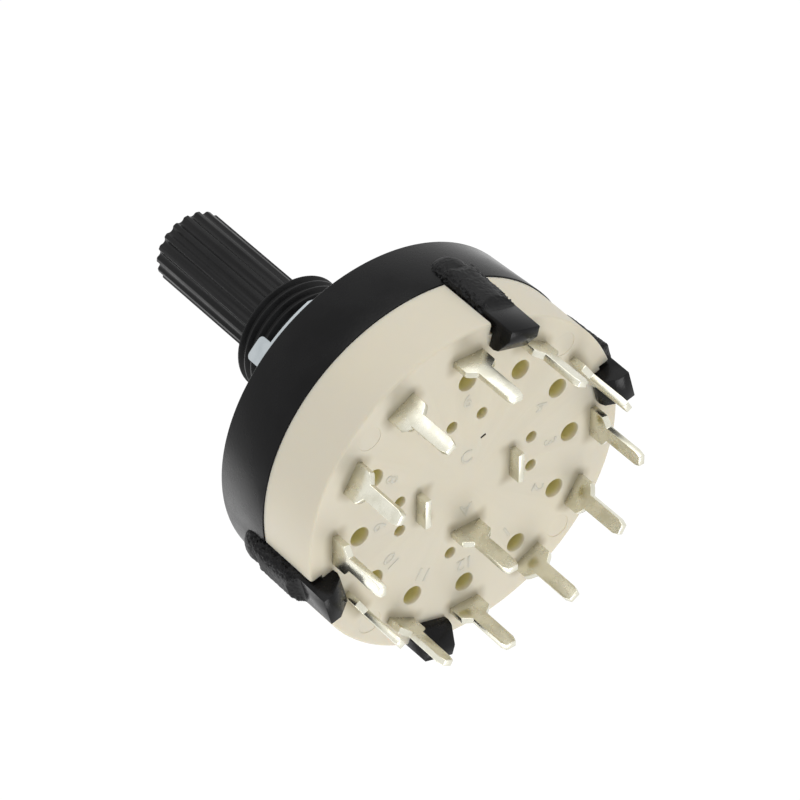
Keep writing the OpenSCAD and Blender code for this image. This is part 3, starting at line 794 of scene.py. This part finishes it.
ringSettings = {
    "radius": 7.0, "hole": 4.75, "thickness": 1.0, "tongueReach": 12.2, "tongueWidth": 6.35,
    "tongueEase": 0.95, "tongueAngle": -54.3, "lugWidth": 1.85, "lugRise": 1.05, "lugThickness": 0.8,
    "lugCorner": 0.35, "tabWidth": 1.4, "tabFrom": 7.9, "tabTo": 8.9, "tabAngle": 135, "tabDepth": 2.9,
    "edge": 0.07,
}


def makeStopRing(s):
    half, reach, ease, thick = s["tongueWidth"] / 2, s["tongueReach"], s["tongueEase"], s["thickness"]
    plan = [(0, -half), (reach - ease, -half), (reach, ease - half), (reach, half), (0, half)]
    ring = raiseOutline("stopRing", plan, Vector((0, 0, thick)), flat=True)
    combine(ring, roundBand("tongueRoom", 0, reach, -past, thick + past, steps=192), "INTERSECT")
    combine(ring, roundBand("ringBody", 0, s["radius"], 0, thick, steps=96), "UNION")
    combine(ring, roundBand("ringCutter", 0, s["hole"], -past, thick + past, steps=96), "DIFFERENCE")
    low, corner = half - s["lugWidth"], s["lugCorner"]
    lugView = [(low, thick / 2), *arc((low + corner, corner - s["lugRise"]), corner, 180, 270, 4),
               *arc((half - corner, corner - s["lugRise"]), corner, 270, 360, 4), (half, thick / 2)]
    lug = raiseOutline("lug", lugView, Vector((0, s["lugThickness"] + past, 0)))
    lug.rotation_euler.z = math.pi / 2
    lug.location.x = reach + past / 2
    lugRoom = roundBand("lugRoom", reach - s["lugThickness"], reach, -s["lugRise"] - past, thick, steps=192)
    combine(settle(lug), lugRoom, "INTERSECT")
    combine(ring, lug, "UNION")
    placeRound(ring, 0, s["tongueAngle"])
    overlap = 0.4
    inset = 0.01  # the tab stands this far inside its foot's outline
    tabFoot = blockCutter("tabFoot", (s["tabTo"] - s["radius"] + overlap, s["tabWidth"]), 0, thick)
    placeRound(tabFoot, (s["tabTo"] + s["radius"] - overlap) / 2, s["tabAngle"])
    combine(ring, tabFoot, "UNION")
    tab = blockCutter("tab", (s["tabTo"] - s["tabFrom"], s["tabWidth"] - 2 * inset), thick / 2, s["tabDepth"])
    placeRound(tab, (s["tabTo"] + s["tabFrom"]) / 2 - inset, s["tabAngle"])
    combine(ring, tab, "UNION")
    softenEdges(ring, s["edge"], segments=2, angle=40)
    dress(ring, zincPlate, "zinc_plate", "stop_ring")
    print("stop ring placed")


# finishes are made first, then the pieces that wear them

housingBlack = blackPlastic("housingBlack", blackSettings)
shaftBlack = blackPlastic("shaftBlack", {**blackSettings, "specular": 0.2, "roughLow": 0.3,
                                         "roughHigh": 0.42})
hookBlack = blackPlastic("hookBlack", {**blackSettings, "specular": 0.2, "roughLow": 0.4, "roughHigh": 0.55})
waferCream = creamPlastic("waferCream", creamSettings)
brightTin = platedMetal("brightTin", tinSettings)
zincPlate = platedMetal("zincPlate", {**tinSettings, "bright": (0.5, 0.54, 0.56),
                                      "dull": (0.42, 0.46, 0.48), "roughLow": 0.3, "roughHigh": 0.45})
springBronze = platedMetal("springBronze", {**tinSettings, "bright": (0.72, 0.48, 0.24),
                                            "dull": (0.55, 0.34, 0.16)})
springSteel = platedMetal("springSteel", {**tinSettings, "bright": (0.6, 0.61, 0.62),
                                          "dull": (0.45, 0.46, 0.47)})
print("finishes made")

makeWafer(waferSettings)
makeFigures(figureSettings)
makeTerminals(terminalSettings)
makeCommonRing(terminalSettings)
makeCap(capSettings)
makeThread(capSettings)
makeHooks(hookSettings)
makeShaft(shaftSettings)
makeStopRing(ringSettings)


# pieces inside keep their own shape and get their finish

innerFinishes = {
    "contact_carrier": waferCream, "bridging_contact": springBronze, "contact_spring": springSteel,
    "detent_ball_1": springSteel, "detent_ball_2": springSteel, "detent_spring_1": springSteel,
    "detent_spring_2": springSteel,
}
for node, material in innerFinishes.items():
    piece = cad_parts[node]
    if not piece.material_slots:
        piece.data.materials.append(material)
    for place in piece.material_slots:
        place.material = material
print("inner pieces finished")


# camera in millimetres, as it was solved from the photograph, and floor and lamps in metres

cameraSettings = {
    "eye": (149.76, 199.52, 210.31), "look": (-0.46461, -0.60685, -0.64487), "roll": 0.345, "lens": 208.94,
    "sensor": 36, "nearest": 10,
}
stageSettings = {
    "floorDrop": 0.14, "floorSize": 6.0, "floorColour": (0.93, 0.93, 0.93), "floorWhite": 0.8,
    "floorGlow": 1.1, "worldStrength": 0.6, "background": 1.0,
}
lampSettings = {
    "keyLight": {"power": 0.2, "size": 0.1, "where": (-0.025, 0.225, -0.1075)},
    "sideLight": {"power": 0.7, "size": 0.4, "where": (0.0, 0.0, 0.4)},
    "fillLight": {"power": 0.085, "size": 0.1, "where": (0.17, 0.0, -0.106)},
    "lowLight": {"power": 0.022, "size": 0.07, "where": (0.071, -0.085, -0.0855)},
}


def makeCamera(s):
    camera = bpy.data.objects.new("camera", bpy.data.cameras.new("camera"))
    bpy.context.scene.collection.objects.link(camera)
    camera.data.lens = s["lens"]
    camera.data.sensor_width = s["sensor"]
    camera.data.clip_start = s["nearest"] * mm
    camera.location = Vector(s["eye"]) * mm
    aim = Vector(s["look"]).to_track_quat("-Z", "Y")
    camera.rotation_mode = "QUATERNION"
    camera.rotation_quaternion = aim @ Quaternion((0, 0, 1), math.radians(s["roll"]))
    bpy.context.scene.camera = camera


def makeFloor(s):
    clearSelection()
    bpy.ops.mesh.primitive_plane_add(size=s["floorSize"], location=(0, 0, cadBox[0][2] - s["floorDrop"]))
    floor = bpy.context.object
    floor.name = "floor"
    f = Finish("floorPale", Base_Color=paint(s["floorColour"]), Roughness=0.9, Specular_IOR_Level=0.0)
    lit = Wire(f, f.shader.outputs[0])
    glow = f.add("ShaderNodeEmission", {}, Strength=s["floorGlow"])
    f.plug(f.tree.nodes["Material Output"].inputs[0], f.blend(f.seenDirectly() * s["floorWhite"], lit, glow))
    floor.data.materials.append(f.material)


def makeWorld(s):
    world = bpy.data.worlds.new("studio")
    bpy.context.scene.world = world
    world.use_nodes = True
    w = Nodes(world.node_tree)
    light = w.add("ShaderNodeBackground", {}, Color=paint((1, 1, 1)), Strength=s["worldStrength"])
    white = w.add("ShaderNodeBackground", {}, Color=paint((1, 1, 1)), Strength=s["background"])
    w.plug(w.tree.nodes["World Output"].inputs[0], w.blend(w.seenDirectly(), light, white))


def makeLamp(name, s):
    lamp = bpy.data.objects.new(name, bpy.data.lights.new(name, "AREA"))
    bpy.context.scene.collection.objects.link(lamp)
    lamp.data.energy = s["power"]
    lamp.data.size = s["size"]
    lamp.location = s["where"]
    lamp.rotation_mode = "QUATERNION"
    lamp.rotation_quaternion = (-Vector(s["where"])).to_track_quat("-Z", "Y")


makeCamera(cameraSettings)
makeFloor(stageSettings)
makeWorld(stageSettings)
for name, settings in lampSettings.items():
    makeLamp(name, settings)
bpy.context.scene.view_settings.view_transform = "Standard"
print("stage set")
